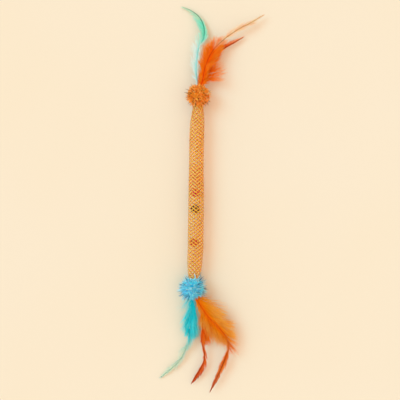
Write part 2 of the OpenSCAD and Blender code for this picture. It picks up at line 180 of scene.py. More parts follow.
# Materials. Most of a noise's values lie between 0.3 and 0.7.
def nylon_material():
    """Golden nylon: flat see-through strands with a painted highlight, pale, on top, and painted shade,
    brown, at their edges, where they dip under and on their inner faces.
    """
    ribs_across = 4
    made, tree, shader = principled(
        "golden_nylon", Specular_IOR_Level=0.22, Coat_Weight=0.05, Coat_Roughness=0.2, Alpha=0.47
    )
    level, across = uv_parts(tree, "strand")
    number, outside = uv_parts(tree, "scatter")
    place = object_place(tree)
    off_middle = arithmetic(tree, "ABSOLUTE", arithmetic(tree, "SUBTRACT", across, 0.5))
    # painted highlight along each strand's middle, fading to painted shade, brown, at its edges
    painted_highlight_and_edge_shade = ramp(
        tree,
        arithmetic(tree, "MULTIPLY", off_middle, 2.0),
        [(0.0, 255, 250, 116), (0.55, 255, 230, 58), (0.8, 252, 164, 4), (0.95, 220, 110, 0)],
    )
    passes_over = spread(tree, level, 0.25, 0.7)
    faces_out = spread(tree, outside, 0.3, 0.7)
    # painted shade, brown, where a strand dips under another and on its inner face
    clear_of_painted_shade = arithmetic(tree, "MULTIPLY", passes_over, faces_out)
    with_painted_shade = blend(tree, clear_of_painted_shade, srgb(244, 134, 0), painted_highlight_and_edge_shade)
    patches = spread(tree, noise(tree, place, scale=260.0, detail=2.0), 0.35, 0.7, to=(0.0, 0.2))
    patchy = blend(tree, patches, with_painted_shade, srgb(240, 150, 24))
    own_shade = spread(tree, number, 0.0, 1.0, to=(0.0, 0.12))
    paint(tree, shader, blend(tree, own_shade, patchy, srgb(255, 206, 80)))
    ribs = arithmetic(tree, "SINE", arithmetic(tree, "MULTIPLY", across, 2 * math.pi * ribs_across))
    fine = noise(tree, place, scale=1400.0, detail=2.0)
    bump(tree, shader, arithmetic(tree, "ADD", ribs, fine), strength=0.4, depth=0.05)
    roughen(tree, shader, fine, rough=(0.28, 0.44))
    return made


def tinsel_material(name, stops, tip, painted_glint, root, lustre):
    """Metallised film: each strip has its own colour, painted shade deeper at its root, a painted highlight
    paler at its tip, and painted glints.
    """
    made, tree, shader = principled(
        name,
        Roughness=0.3,
        Specular_IOR_Level=0.35,
        Coat_Weight=0.08,
        Coat_Roughness=0.2,
        Sheen_Weight=0.8,
        Sheen_Roughness=0.5,
        Sheen_Tint=srgb(*lustre),
    )
    number, along = uv_parts(tree, "scatter")
    place = object_place(tree)
    own = ramp(tree, number, stops, "CONSTANT")
    # painted glints: pale highlight spots scattered by a noise
    painted_glint_mask = spread(tree, noise(tree, place, scale=900.0, detail=2.0), 0.62, 0.72, to=(0.0, 0.75))
    with_painted_glints = blend(tree, painted_glint_mask, own, srgb(*painted_glint))
    # painted highlight: strips paler towards their cut tips
    painted_tip_highlight = spread(tree, along, 0.8, 1.0, to=(0.0, 0.35))
    with_painted_tip_highlight = blend(tree, painted_tip_highlight, with_painted_glints, srgb(*tip))
    # painted shade: strips deeper in colour towards their roots, inside the ball
    painted_root_shade = spread(tree, along, 0.0, 0.3, to=(0.5, 0.0))
    paint(tree, shader, blend(tree, painted_root_shade, with_painted_tip_highlight, srgb(*root)))
    crinkle = noise(tree, place, scale=1500.0, detail=2.0)
    bump(tree, shader, crinkle, strength=0.35, depth=0.1)
    roughen(tree, shader, crinkle, rough=(0.2, 0.42))
    return made


def feather_material(name, down, web, tail, shaft, streak):
    """Dyed barbs: down, web and tail colours run into each other along the feather, with streaks.

    Each of the three is a ramp from the shaft to the barbs' ends; the shaft's own ramp runs along it.
    """
    made, tree, shader = principled(name, Roughness=0.66, Specular_IOR_Level=0.04)
    along, out = uv_parts(tree, "feather")
    number, part = uv_parts(tree, "scatter")
    place = object_place(tree)
    wander = spread(tree, noise(tree, place, scale=60.0, detail=2.0), 0.3, 0.7, to=(-0.04, 0.04))
    along_soft = arithmetic(tree, "ADD", along, wander)
    past_down = spread(tree, along_soft, 0.42, 0.56)
    past_web = spread(tree, along_soft, 0.7, 0.86)
    dyed = blend(tree, past_down, ramp(tree, out, down), ramp(tree, out, web))
    dyed = blend(tree, past_web, dyed, ramp(tree, out, tail))
    streaked = blend(tree, spread(tree, number, 0.55, 1.0, to=(0.0, 0.6)), dyed, srgb(*streak))
    fine = noise(tree, place, scale=1400.0, detail=2.0)
    mottle = spread(tree, fine, 0.35, 0.7, to=(0.0, 0.25))
    mottled = blend(tree, mottle, streaked, srgb(*streak), "MULTIPLY")
    is_shaft = spread(tree, part, 0.4, 0.6)
    whole = blend(tree, is_shaft, mottled, ramp(tree, along, shaft))
    paint(tree, shader, whole)
    bump(tree, shader, fine, strength=0.3, depth=0.06)
    roughen(tree, shader, fine, rough=(0.5, 0.75))
    let_light_through(made, shader, whole, share=0.12)
    return made


def bell_material(name, light, dark, worn):
    """Lacquered steel: glossy colour with faint mottling, dulled and worn where bells knock together."""
    made, tree, shader = principled(
        name, Metallic=0.1, Specular_IOR_Level=0.4, Coat_Weight=0.3, Coat_Roughness=0.12
    )
    place = object_place(tree)
    mottled = ramp(tree, noise(tree, place, scale=300.0), [(0.35, *dark), (0.65, *light)])
    scuff = noise(tree, place, scale=1800.0, detail=4.0, roughness=0.7)
    worn_through = spread(tree, scuff, 0.66, 0.74, to=(0.0, 0.7))
    paint(tree, shader, blend(tree, worn_through, mottled, srgb(*worn)))
    roughen(tree, shader, scuff, rough=(0.18, 0.45), high=0.75)
    bump(tree, shader, scuff, strength=0.12, depth=0.05)
    return made


def metal_material(name, light, dark, rough, scale):
    """Bare metal with drawing or tumbling marks."""
    made, tree, shader = principled(name, Metallic=1.0)
    marks = noise(tree, object_place(tree), scale, detail=4.0, roughness=0.65)
    paint(tree, shader, ramp(tree, marks, [(0.3, *dark), (0.7, *light)]))
    roughen(tree, shader, marks, rough)
    bump(tree, shader, marks, strength=0.15, depth=0.05)
    return made


def thread_material():
    """Twisted polyester thread, with painted shade in the grooves of its twist."""
    made, tree, shader = principled("tie_thread_look", Roughness=0.7, Sheen_Weight=0.3, Sheen_Roughness=0.5)
    twist = node(
        tree,
        "ShaderNodeTexWave",
        {"Vector": object_place(tree), "Scale": 420.0, "Distortion": 1.5, "Detail": 2.0},
        wave_type="BANDS",
        bands_direction="DIAGONAL",
    ).outputs["Fac"]
    # painted shade: darker in the grooves of the twist, following its relief
    paint(tree, shader, ramp(tree, twist, [(0.2, 176, 88, 24), (0.8, 228, 134, 50)]))
    bump(tree, shader, twist, strength=0.6, depth=0.12)
    return made


def glue_material():
    """Hot glue: milky and slightly yellow, with soft swirls."""
    made, tree, shader = principled(
        "hot_glue_look",
        Roughness=0.32,
        Specular_IOR_Level=0.45,
        Subsurface_Weight=0.35,
        Subsurface_Scale=2 * MM,
    )
    swirl = noise(tree, object_place(tree), scale=380.0)
    paint(tree, shader, ramp(tree, swirl, [(0.3, 222, 208, 170), (0.7, 245, 236, 208)]))
    roughen(tree, shader, swirl, rough=(0.25, 0.42))
    bump(tree, shader, swirl, strength=0.25, depth=0.2)
    return made


# Meshes, in millimetres. A section's corners are shares of a strip's half width and half height.
FLAT = ((-1, -1), (1, -1), (1, 1), (-1, 1))
ROUND_EDGED = ((-1, 0), (-0.62, -1), (0.62, -1), (1, 0), (0.62, 1), (-0.62, 1))
BLADE = ((-1, 0), (0, -1), (1, 0), (0, 1))
ROUND_SIDES = 8
ROUND = tuple((math.cos(a), math.sin(a)) for a in np.arange(ROUND_SIDES) * 2 * math.pi / ROUND_SIDES)
UP = np.array([0, 0, 1.0])


def unit(v):
    return v / np.maximum(np.linalg.norm(v, axis=-1, keepdims=True), TINY)


def pair(first, second):
    """Two values at each point as one map."""
    return np.stack(np.broadcast_arrays(first, second), -1)


def running_total(rate, place):
    """The sum of a rate from the first place up to each place."""
    return np.concatenate([[0], np.cumsum((rate[1:] + rate[:-1]) / 2 * np.diff(place))])


def strips(centres, wide, high, section, maps):
    """Closed strips: centres, half widths and half heights are (strips, stations, 3).

    A map is (strips, stations, 2), or (strips, stations, corners, 2) where it changes round the section.
    Gives the points, the faces by their number of corners, and the maps' values at each point.
    """
    shape = (*centres.shape[:2], len(section))
    rings = np.stack([centres + a * wide + b * high for a, b in section], axis=2)
    index = np.arange(np.prod(shape)).reshape(shape)
    after = np.roll(index, -1, axis=2)
    quads = np.stack([index[:, :-1], after[:, :-1], after[:, 1:], index[:, 1:]], axis=-1).reshape(-1, 4)
    caps = np.concatenate([index[:, 0, ::-1], index[:, -1]])
    values = {}
    for name, value in maps.items():
        if value.ndim == 3:
            value = value[:, :, None]
        values[name] = np.broadcast_to(value, (*shape, 2)).reshape(-1, 2)
    return {"points": rings.reshape(-1, 3), "faces": [quads, caps], "maps": values}


def build(name, parts, material, smooth=False):
    """One mesh object from parts, each with its points, faces and maps."""
    points = np.concatenate([part["points"] for part in parts]) * MM
    starts = np.cumsum([0] + [len(part["points"]) for part in parts])
    faces = [alike + start for part, start in zip(parts, starts) for alike in part["faces"]]
    corners = np.concatenate([alike.reshape(-1) for alike in faces]).astype(np.int32)
    sizes = np.concatenate([np.full(len(alike), alike.shape[1]) for alike in faces])
    mesh = bpy.data.meshes.new(name)
    mesh.vertices.add(len(points))
    mesh.vertices.foreach_set("co", points.astype(np.float32).ravel())
    mesh.loops.add(len(corners))
    mesh.loops.foreach_set("vertex_index", corners)
    mesh.polygons.add(len(sizes))
    mesh.polygons.foreach_set("loop_start", np.concatenate([[0], np.cumsum(sizes)[:-1]]).astype(np.int32))
    mesh.polygons.foreach_set("use_smooth", np.full(len(sizes), smooth))
    for map_name in parts[0]["maps"]:
        values = np.concatenate([part["maps"][map_name] for part in parts])
        layer = mesh.uv_layers.new(name=map_name)
        layer.data.foreach_set("uv", values[corners].astype(np.float32).ravel())
    mesh.update(calc_edges=True)
    mesh.validate()
    mesh.materials.append(material)
    made = bpy.data.objects.new(name, mesh)
    bpy.context.scene.collection.objects.link(made)
    return made


def set_on_wand(piece, slot, *replaced):
    """Has a piece ride on the wand, in place of the soft CAD nodes that it shows in full."""
    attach(piece, "wand")
    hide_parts(*replaced)


# The braided tube
STRANDS = 10
CELL_SIDE = 3.55
STRAND_W = 1.7
STRAND_T = 0.3
LIFT = 0.22
STEEPNESS = 1.6
STATIONS_PER_CELL = 5
FINE_STEPS = 4000
BRAID_SEED = 5
# a place along the tube, and the angle that the columns of V face there
COLUMNS_FACE = ((-95.0, 69.6), (10.0, 77.0), (95.0, 109.6))
COLUMN_ANGLE = 52.5
# how strands stray round the tube, along it and in width: how far, then how fast from cell to cell
STRAY_ROUND = (0.014, 0.11, 0.23, 0.41)
STRAY_ALONG = (0.06, 0.17, 0.37)
STRAY_WIDTH = (0.06, 0.7)
# how the soft tube lies: a place along it, how far it bows to the right there, how much it is widened
LIE = (
    (-116.0, 0.0, 1.0), (-107.0, 1.3, 1.12), (-98.0, 1.6, 1.16), (-88.0, 1.7, 1.14), (-72.0, 2.3, 1.15),
    (-53.0, 1.8, 1.16), (-22.0, 1.3, 1.15), (0.0, 0.9, 1.14), (14.0, 0.5, 1.12), (26.0, 0.2, 1.08),
    (56.0, -0.3, 1.08), (72.0, -0.5, 1.09), (87.0, -0.4, 1.07), (102.0, 0.1, 1.04), (116.0, 0.0, 1.0),
)
LIE_STEP = 0.5
LIE_SMOOTHED = 12.0


def tube_radius(y):
    """The radius of the braid's middle surface at a distance from the tube's middle."""
    off_middle = np.abs(y)
    drawn_in = np.clip((off_middle - TAPER_Y) / (NECK_Y - TAPER_Y), 0, 1) ** 2
    flared = np.clip((off_middle - NECK_END_Y) / (TAIL_Y - NECK_END_Y), 0, 1)
    return MIDDLE_R + (NECK_R - MIDDLE_R) * drawn_in + TAIL_FLARE * flared


def lie(y):
    """The shift to the right and the widening at places along the tube."""
    reach = int(LIE_SMOOTHED / LIE_STEP / 2)
    grid = np.arange(-TAIL_Y, TAIL_Y + LIE_STEP, LIE_STEP)
    # a Hann window without the zeros at its ends
    window = np.hanning(2 * reach + 3)[1:-1]
    window = window / window.sum()
    places, *columns = np.array(LIE).T
    found = []
    for column in columns:
        rough = np.pad(np.interp(grid, places, column), reach, "edge")
        found.append(np.interp(y, grid, np.convolve(rough, window, "valid")))
    return found


def braid():
    """Flat strands, each over two and under two, so that their floats line up in columns of V.

    Where the tube draws in, its cells grow longer as they close up. The columns of V run along the tube
    and wind a little round it.
    """
    y = np.linspace(0, TAIL_Y, FINE_STEPS)
    half_cell = math.pi * tube_radius(y) / STRANDS
    cells = running_total(1 / np.sqrt(CELL_SIDE**2 - half_cell**2), y)
    last = cells[-1]
    u = np.linspace(-last, last, int(2 * last * STATIONS_PER_CELL))[None, :]
    along = np.sign(u) * np.interp(np.abs(u), cells, y)
    facing = np.polynomial.Polynomial.fit(*zip(*COLUMNS_FACE), len(COLUMNS_FACE) - 1)
    wound = np.radians(facing(along) - COLUMN_ANGLE)
    number = np.arange(STRANDS)[:, None]
    across, outside = (1 + np.array(ROUND_EDGED).T) / 2
    rng = np.random.default_rng(BRAID_SEED)

    def stray(size, *rates):
        return sum(size * np.sin(u * rate + rng.uniform(0, ANY_PHASE, (STRANDS, 1))) for rate in rates)

    parts = []
    for way in (1, -1):
        half_cells_round = 2 * number + way * u
        turn = math.pi / STRANDS * half_cells_round + wound + stray(*STRAY_ROUND)
        weave = np.clip(STEEPNESS * way * np.cos(math.pi / 2 * half_cells_round - math.pi / 4), -1, 1)
        place_y = along + stray(*STRAY_ALONG)
        radius = tube_radius(place_y) + weave * LIFT
        shift, widened = lie(place_y)
        centres = np.stack([radius * np.cos(turn) * widened + shift, place_y, radius * np.sin(turn)], -1)
        ahead = unit(np.gradient(centres, axis=1))
        outward = unit(np.stack([np.cos(turn) / widened, np.zeros_like(turn), np.sin(turn)], -1))
        sideways = unit(np.cross(outward, ahead))
        up = np.cross(ahead, sideways)
        half_w = STRAND_W / 2 * (1 + stray(*STRAY_WIDTH))
        shade = rng.uniform(0, 1, (STRANDS, 1))
        # the strand map's over and under and the scatter map's outer face pick out where the nylon gets
        # painted shade; the scatter map's first value is each strand's own tone
        maps = {
            "strand": pair((1 + weave[..., None]) / 2, across),
            "scatter": pair((shade + 0 * u)[..., None], outside),
        }
        parts.append(strips(centres, sideways * half_w[..., None], up * STRAND_T / 2, ROUND_EDGED, maps))
    return build("mesh_tube_braid", parts, nylon_material(), smooth=True)


set_on_wand(braid(), "golden_mesh", "mesh_tube")

# Tinsel pompoms. Directions are in degrees from the feathers' side of the ball.
STRIPS_FROM, STRIPS_TO = 17, 153
ROOTS_FROM, ROOTS_TO = 40, 140
ROOT_R = (7.2, 8.8)
GOLDEN_ANGLE = 2.399963
# no strip stands out straight in this cone round the feathers; it leans to the right as they do
FEATHER_CONE = 44
CONE_LEAN = 12
STRIP_STATIONS = 8
STRIP_HALF_T = 0.035
# where a strip stands, as a share of the room that it has to itself
OWN_ROOM = (0.2, 0.8)
# how far a strip and its tip stray, in radians, and how strips curl, lean, crimp and twist
STRIP_STRAY = 0.12
CURLED_REACH = (0.84, 1.0)
CURL_SHARE = (0.5, 1.3)
STRAIGHT_LEAN = (0.0, 0.8)
CRIMP, CRIMP_RATE = 0.12, 11
TWIST_AT_ROOT, TWIST_ALONG = 0.35, 0.4
WIDTH_SHARE = (0.8, 1.2)
TAPERED_OFF = 0.3
STRAIGHT_WIDTH, CURLED_WIDTH, CUT_TIP_WIDTH = 0.8, 1.55, 0.35
# the straight strips take their colours from the last part of the ramp
STRAIGHT_FROM, CURLED_TO = 0.8, 0.79
# strips keep clear of the tube up to this place along it; a point this near its axis is taken as beside it
TUBE_GAP = 1.1
CROWD_Y = NECK_Y + 4
NEAR_AXIS = 0.1
# how high the lowest strips lie, how they pile up and how far they are pressed out
FLOOR_GAP = 0.35
FLOOR_PILE = 0.1
PRESSED_OUT = 0.7
# the wound backing under the strips
CORE_AROUND, CORE_OVER = 40, 18
CORE_R = 8.3
CORE_BORE_R = 5.35
CORE_WALL = 0.1
CORE_FROM, CORE_TO = 41, 139
TURNS_RELIEF, TURNS_AROUND, TURNS_OVER = 0.25, 9, 14
CORE_ROUGH = 0.12


def on_ball(radius, polar, turn):
    """Points at polar angles from the feathers' side of a ball and at turns round the tube."""
    off_axis = radius * np.sin(polar)
    return np.stack([off_axis * np.cos(turn), radius * np.cos(polar), off_axis * np.sin(turn)], -1)


def keep_off_tube(centres, side):
    """Moves the strips out of the tube that they stand round."""
    shift, widened = lie(side * centres[..., 1])
    beside = (centres[..., 0] - shift) / widened
    off_axis = np.hypot(beside, centres[..., 2])
    room = tube_radius(centres[..., 1]) + TUBE_GAP
    crowd = (centres[..., 1] < CROWD_Y) & (off_axis < room)
    push = np.where(crowd, room / np.maximum(off_axis, NEAR_AXIS), 1)
    centres[..., 0] = beside * push * widened + shift
    centres[..., 2] *= push


def press_on_floor(centres, rng):
    """Bends the lowest strips out along the surface that they lie on."""
    low_z = -AXIS_H + FLOOR_GAP
    pressed = np.maximum(low_z - centres[..., 2], 0)
    outward = unit((centres - [0, POMPOM_Y, 0]) * [1, 1, 0])
    centres += outward * (pressed * PRESSED_OUT)[..., None]
    pile = FLOOR_PILE * rng.random((len(centres), 1))
    centres[..., 2] = np.maximum(centres[..., 2], low_z + pile)


def strip_lines(t, side, dense_r, tip_r, long_share, count, curl, rng):
    """The strips' centre lines, the way in which each one curls, and which of them stand out straight."""
    share = (np.arange(count) + rng.uniform(*OWN_ROOM, count)) / count
    first, last = math.cos(math.radians(STRIPS_FROM)), math.cos(math.radians(STRIPS_TO))
    polar = np.arccos(first + (last - first) * share)
    turn = GOLDEN_ANGLE * np.arange(count) + rng.normal(0, STRIP_STRAY, count)
    root_polar = np.clip(polar, math.radians(ROOTS_FROM), math.radians(ROOTS_TO))
    root_r = rng.uniform(*ROOT_R, count)
    feather_cone = np.radians(FEATHER_CONE + CONE_LEAN * np.cos(turn))
    straight = (rng.random(count) < long_share) & (polar > feather_cone)
    straight_reach = rng.uniform(dense_r, tip_r, count)
    reach = np.where(straight, straight_reach, dense_r * rng.uniform(*CURLED_REACH, count))
    root = on_ball(root_r, root_polar, turn)
    tip_polar = polar + rng.normal(0, STRIP_STRAY, count)
    tip_turn = turn + rng.normal(0, STRIP_STRAY, count)
    tip = on_ball(reach, tip_polar, tip_turn)

    # a strip leaves its straight line at right angles to the ball's radius
    out = on_ball(1.0, polar, turn)
    away = rng.normal(0, 1, (count, 3))
    away = unit(away - np.sum(away * out, axis=1, keepdims=True) * out)[:, None]
    straight_lean = rng.uniform(*STRAIGHT_LEAN, count)
    lean = np.where(straight, straight_lean, curl * rng.uniform(*CURL_SHARE, count))[:, None, None]
    crimp = CRIMP * np.sin(t * CRIMP_RATE + rng.uniform(0, ANY_PHASE, (count, 1, 1)))
    centres = root[:, None] + (tip - root)[:, None] * t + away * (lean * t**2 + crimp)
    centres[..., 1] += POMPOM_Y
    keep_off_tube(centres, side)
    press_on_floor(centres, rng)
    centres[..., 1] *= side
    return centres, away, straight


def pompom(name, side, dense_r, tip_r, long_share, count, width, curl, material, seed):
    """Film strips that stand out all round a wound core, flattened where the toy lies on them.

    Most of them curl over at dense_r, so that their flat sides face out. The others stand out straight, up
    to tip_r.
    """
    rng = np.random.default_rng(seed)
    t = np.linspace(0, 1, STRIP_STATIONS)[None, :, None]
    centres, away, straight = strip_lines(t, side, dense_r, tip_r, long_share, count, curl, rng)
    ahead = unit(np.gradient(centres, axis=1))
    twist = rng.normal(0, TWIST_AT_ROOT, (count, 1, 1)) + rng.normal(0, TWIST_ALONG, (count, 1, 1)) * t
    flat_wide = unit(np.cross(ahead, away * [1, side, 1]))
    flat_high = np.cross(ahead, flat_wide)
    wide = unit(flat_wide * np.cos(twist) + flat_high * np.sin(twist))
    high = np.cross(ahead, wide)
    half_w = width / 2 * (1 - TAPERED_OFF * t) * rng.uniform(*WIDTH_SHARE, (count, 1, 1))
    half_w = half_w * np.where(straight, STRAIGHT_WIDTH, CURLED_WIDTH)[:, None, None]
    half_w[:, -1] *= CUT_TIP_WIDTH
    number = rng.uniform(0, 1, (count, 1))
    straight_number = STRAIGHT_FROM + (1 - STRAIGHT_FROM) * number
    number = np.where(straight[:, None], straight_number, CURLED_TO * number)
    maps = {"scatter": pair(number, t[..., 0])}
    film = strips(centres, wide * half_w, high * STRIP_HALF_T, FLAT, maps)
    return build(name, [wound_core(side, rng), film], material)


def wound_core(side, rng):
    """The wound backing round the neck, a closed ring whose outside is lumpy with turns."""
    turn = (np.arange(CORE_AROUND) * 2 * math.pi / CORE_AROUND)[:, None]
    polar = np.linspace(math.radians(CORE_FROM), math.radians(CORE_TO), CORE_OVER)[None, :]
    turns = TURNS_RELIEF * np.sin(TURNS_AROUND * turn + TURNS_OVER * polar)
    lumps = CORE_R + turns + CORE_ROUGH * rng.normal(0, 1, (CORE_AROUND, CORE_OVER))
    outer_r = np.maximum(lumps * np.sin(polar), CORE_BORE_R + CORE_WALL)
    outer_y = lumps * np.cos(polar)
    # each ring goes over the outside and back through the bore
    ring_r = np.concatenate([outer_r, np.full((CORE_AROUND, 2), CORE_BORE_R)], axis=1)
    ring_y = np.concatenate([outer_y, outer_y[:, -1:], outer_y[:, :1]], axis=1)
    points = np.stack([ring_r * np.cos(turn), side * (ring_y + POMPOM_Y), ring_r * np.sin(turn)], -1)
    index = np.arange(ring_r.size).reshape(ring_r.shape)
    after_turn = np.roll(index, -1, axis=0)
    after = np.roll(index, -1, axis=1)
    both = np.roll(after_turn, -1, axis=1)
    quads = np.stack([index, after, both, after_turn], -1).reshape(-1, 4)
    if side > 0:
        quads = quads[:, ::-1]
    values = pair(rng.uniform(0, 1, ring_r.size), 0.0)
    return {"points": points.reshape(-1, 3), "faces": [quads], "maps": {"scatter": values}}


orange_film = tinsel_material(
    "orange_film",
    [
        (0.0, 255, 152, 8),
        (0.22, 255, 148, 34),
        (0.4, 255, 182, 44),
        (0.54, 255, 134, 20),
        (0.68, 255, 196, 90),
        (0.76, 232, 112, 14),
        (0.8, 124, 78, 30),
        (0.86, 255, 180, 80),
        (0.91, 104, 64, 28),
        (0.94, 255, 222, 150),
    ],
    # tip and glint are painted highlights, root is painted shade
    tip=(255, 190, 80),
    painted_glint=(255, 220, 150),
    root=(255, 146, 16),
    lustre=(255, 150, 40),
)
blue_film = tinsel_material(
    "blue_film",
    [
        (0.0, 44, 244, 255),
        (0.2, 130, 252, 255),
        (0.38, 30, 222, 255),
        (0.5, 208, 254, 255),
        (0.63, 84, 206, 255),
        (0.77, 24, 156, 216),
        (0.8, 44, 100, 136),
        (0.85, 150, 236, 255),
        (0.9, 84, 150, 176),
        (0.93, 160, 244, 255),
        (0.975, 24, 66, 100),
    ],
    # tip and glint are painted highlights, root is painted shade
    tip=(186, 238, 250),
    painted_glint=(244, 252, 255),
    root=(40, 226, 255),
    lustre=(90, 214, 255),
)
orange_pompom = pompom(
    "pompom_orange_tinsel",
    side=1,
    dense_r=12.9,
    tip_r=19.4,
    long_share=0.15,
    count=2900,
    width=0.95,
    curl=7.0,
    material=orange_film,
    seed=11,
)
blue_pompom = pompom(
    "pompom_blue_tinsel",
    side=-1,
    dense_r=13.7,
    tip_r=22.8,
    long_share=0.24,
    count=2500,
    width=0.85,
    curl=6.0,
    material=blue_film,
    seed=12,
)
set_on_wand(orange_pompom, "orange_tinsel", "pompom_orange")
set_on_wand(blue_pompom, "blue_tinsel", "pompom_blue")

# Feathers
PATH_STEPS = 240
PLACE_STEPS = 2000
SHAFT_EVERY = 4
SHAFT_TAPER = 0.6
BARB_STATIONS = 7
BARB_HALF_T = 0.04
SHORTEST_BARB = 0.3
BARB_FLOOR_GAP = 0.3
# barbs hold together in tufts that part from each other; this share of them begins a new one
TUFT_STARTS = 0.09
# how much tufts and single barbs differ in length, angle, bend and rise
TUFT_LENGTH, BARB_LENGTH = 0.16, 0.1
TUFT_ANGLE, BARB_ANGLE = 9, 7
BARB_BEND = 8
WAVE, WAVE_RATE = 0.22, (3, 9)
TUFT_RISE, BARB_RISE = 0.6, 0.5
RISE_POWER, RISE_SHARE = 1.3, 0.22
BARB_TILT = 0.25
BARB_WIDTH = (0.8, 1.2)
NARROWED, NARROWED_POWER = 0.72, 1.5


def spline_path(shares, steps):
    """The centre line of a feather as in the CAD source: x to the right and y away from the tube."""
    points = [np.array(p, float) for p in shares]
    last = len(points) - 1
    found = []
    for i in range(steps + 1):
        share = i / steps
        k = min(int(math.floor(share * last)), last - 1)
        t = share * last - k
        a = np.array([0, -points[1][1]]) if k == 0 else points[k - 1]
        b, c = points[k], points[k + 1]
        d = 2 * points[last] - points[last - 1] if k == last - 1 else points[k + 2]
        # Catmull and Rom's spline from b to c
        found.append(
            (2 * b + (c - a) * t + (2 * a - 5 * b + 4 * c - d) * t * t + (3 * b - a - 3 * c + d) * t**3) / 2
        )
    return np.array(found)


def spine_of(shares, length, level):
    """A feather's centre line, with the share of it that each point has behind it and its directions."""
    flat = spline_path(shares, PATH_STEPS) * length
    run = np.concatenate([[0], np.cumsum(np.linalg.norm(np.diff(flat, axis=0), axis=1))])
    s = run / run[-1]
    root_z = level * QUILL_GAP
    tip_z = LOW_TIP_H + (level + 1) * TIP_STEP - AXIS_H
    line = np.stack([flat[:, 0], MOUTH_Y + flat[:, 1], root_z + (tip_z - root_z) * s**DROOP_POWER], -1)
    ahead = unit(np.gradient(line, axis=0))
    aside = unit(np.stack([ahead[:, 1], -ahead[:, 0], np.zeros(len(line))], -1))
    return {"s": s, "line": line, "ahead": ahead, "aside": aside, "length": run[-1]}


def shaft(spine, shaft_r):
    """The tapered shaft, with its quill down in the socket; shaft_r is at its root and at its tip."""
    root_z = spine["line"][0, 2]
    quill = np.array([[0, MOUTH_Y - SOCKET_L, root_z], [0, MOUTH_Y - SOCKET_L / 2, root_z]])
    centres = np.concatenate([quill, spine["line"][::SHAFT_EVERY]])[None]
    s = np.concatenate([[0, 0], spine["s"][::SHAFT_EVERY]])[None]
    root_r, tip_r = shaft_r
    radius = (root_r + (tip_r - root_r) * s**SHAFT_TAPER)[..., None]
    ahead = unit(np.gradient(centres, axis=1))
    wide = unit(np.cross(ahead, UP))
    high = np.cross(ahead, wide)
    maps = {"feather": pair(s, 0.0), "scatter": pair(0 * s, 1.0)}
    return strips(centres, wide * radius, high * radius, ROUND, maps)


def barb_values(rows, place):
    """The columns of a table of barbs after the first, at places along the shaft."""
    places, *columns = np.array(rows, float).T
    return [np.interp(place, places, column) for column in columns]


def barb_places(rows, length, rng):
    """Where the barbs of one side stand, as many to a millimetre as the table says."""
    grid = np.linspace(rows[0][0], rows[-1][0], PLACE_STEPS)
    *_, density, _, _ = barb_values(rows, grid)
    total = running_total(density * length, grid)
    count = int(total[-1])
    spaced = (np.arange(count) + rng.uniform(0, 1, count)) * total[-1] / count
    return np.sort(np.interp(spaced, total, grid))


def from_zero(steps):
    """The running sums of each row's steps, with the zero that they start from."""
    return np.concatenate([np.zeros((len(steps), 1)), np.cumsum(steps, axis=1)], axis=1)


def barb_row(spine, rows, hand, uneven, rng):
    """The curved barbs on one side of a shaft: the left where hand is -1, the right where it is 1."""
    place = barb_places(rows, spine["length"], rng)
    count = len(place)
    left_l, right_l, left_a, right_a, bend, _, width, wild = barb_values(rows, place)
    long, angle = (left_l, left_a) if hand < 0 else (right_l, right_a)
    t = np.linspace(0, 1, BARB_STATIONS)

    def own():
        return rng.normal(0, 1, count)

    tuft = np.cumsum(rng.random(count) < TUFT_STARTS)
    tuft_turn, tuft_long, tuft_rise = (rng.normal(0, 1, tuft[-1] + 1)[tuft] for _ in range(3))
    long = np.maximum(long * (1 + wild * (TUFT_LENGTH * tuft_long + BARB_LENGTH * own())), SHORTEST_BARB)
    start = np.radians(angle + wild * (TUFT_ANGLE * tuft_turn + BARB_ANGLE * own()))
    turned_in = np.radians(bend + wild * BARB_BEND * own())
    phase = t * rng.uniform(*WAVE_RATE, (count, 1)) + rng.uniform(0, ANY_PHASE, (count, 1))
    waves = wild[:, None] * WAVE * np.sin(phase)
    heading = start[:, None] - turned_in[:, None] * t + waves * t
    heading = (heading[:, 1:] + heading[:, :-1]) / 2
    step = long[:, None] / (BARB_STATIONS - 1)
    forward = from_zero(np.cos(heading) * step)[..., None]
    sideways = from_zero(np.sin(heading) * step)[..., None]
    rise = wild * (BARB_RISE * own() + TUFT_RISE * tuft_rise)

    def on_spine(values):
        return np.stack([np.interp(place, spine["s"], column) for column in values.T], -1)

    base_ahead = unit(on_spine(spine["ahead"]))[:, None]
    base_aside = unit(on_spine(spine["aside"]))[:, None] * hand
    centres = on_spine(spine["line"])[:, None] + base_ahead * forward + base_aside * sideways
    centres[..., 2] += rise[:, None] * t**RISE_POWER * long[:, None] * RISE_SHARE
    centres[..., 2] = np.maximum(centres[..., 2], -AXIS_H + BARB_FLOOR_GAP)
    ahead = unit(np.gradient(centres, axis=1))
    wide = unit(np.cross(ahead, UP + BARB_TILT * rng.normal(0, 1, (count, 1, 3))))
    high = np.cross(ahead, wide)
    root_w = width * rng.uniform(*BARB_WIDTH, count)
    half_w = root_w[:, None] / 2 * (1 - NARROWED * t**NARROWED_POWER)
    number = rng.uniform(0, 1, (count, 1)) ** (uneven**hand)
    maps = {"feather": pair(place[:, None], t), "scatter": pair(number, 0 * t)}
    return strips(centres, wide * half_w[..., None], high * BARB_HALF_T, BLADE, maps)


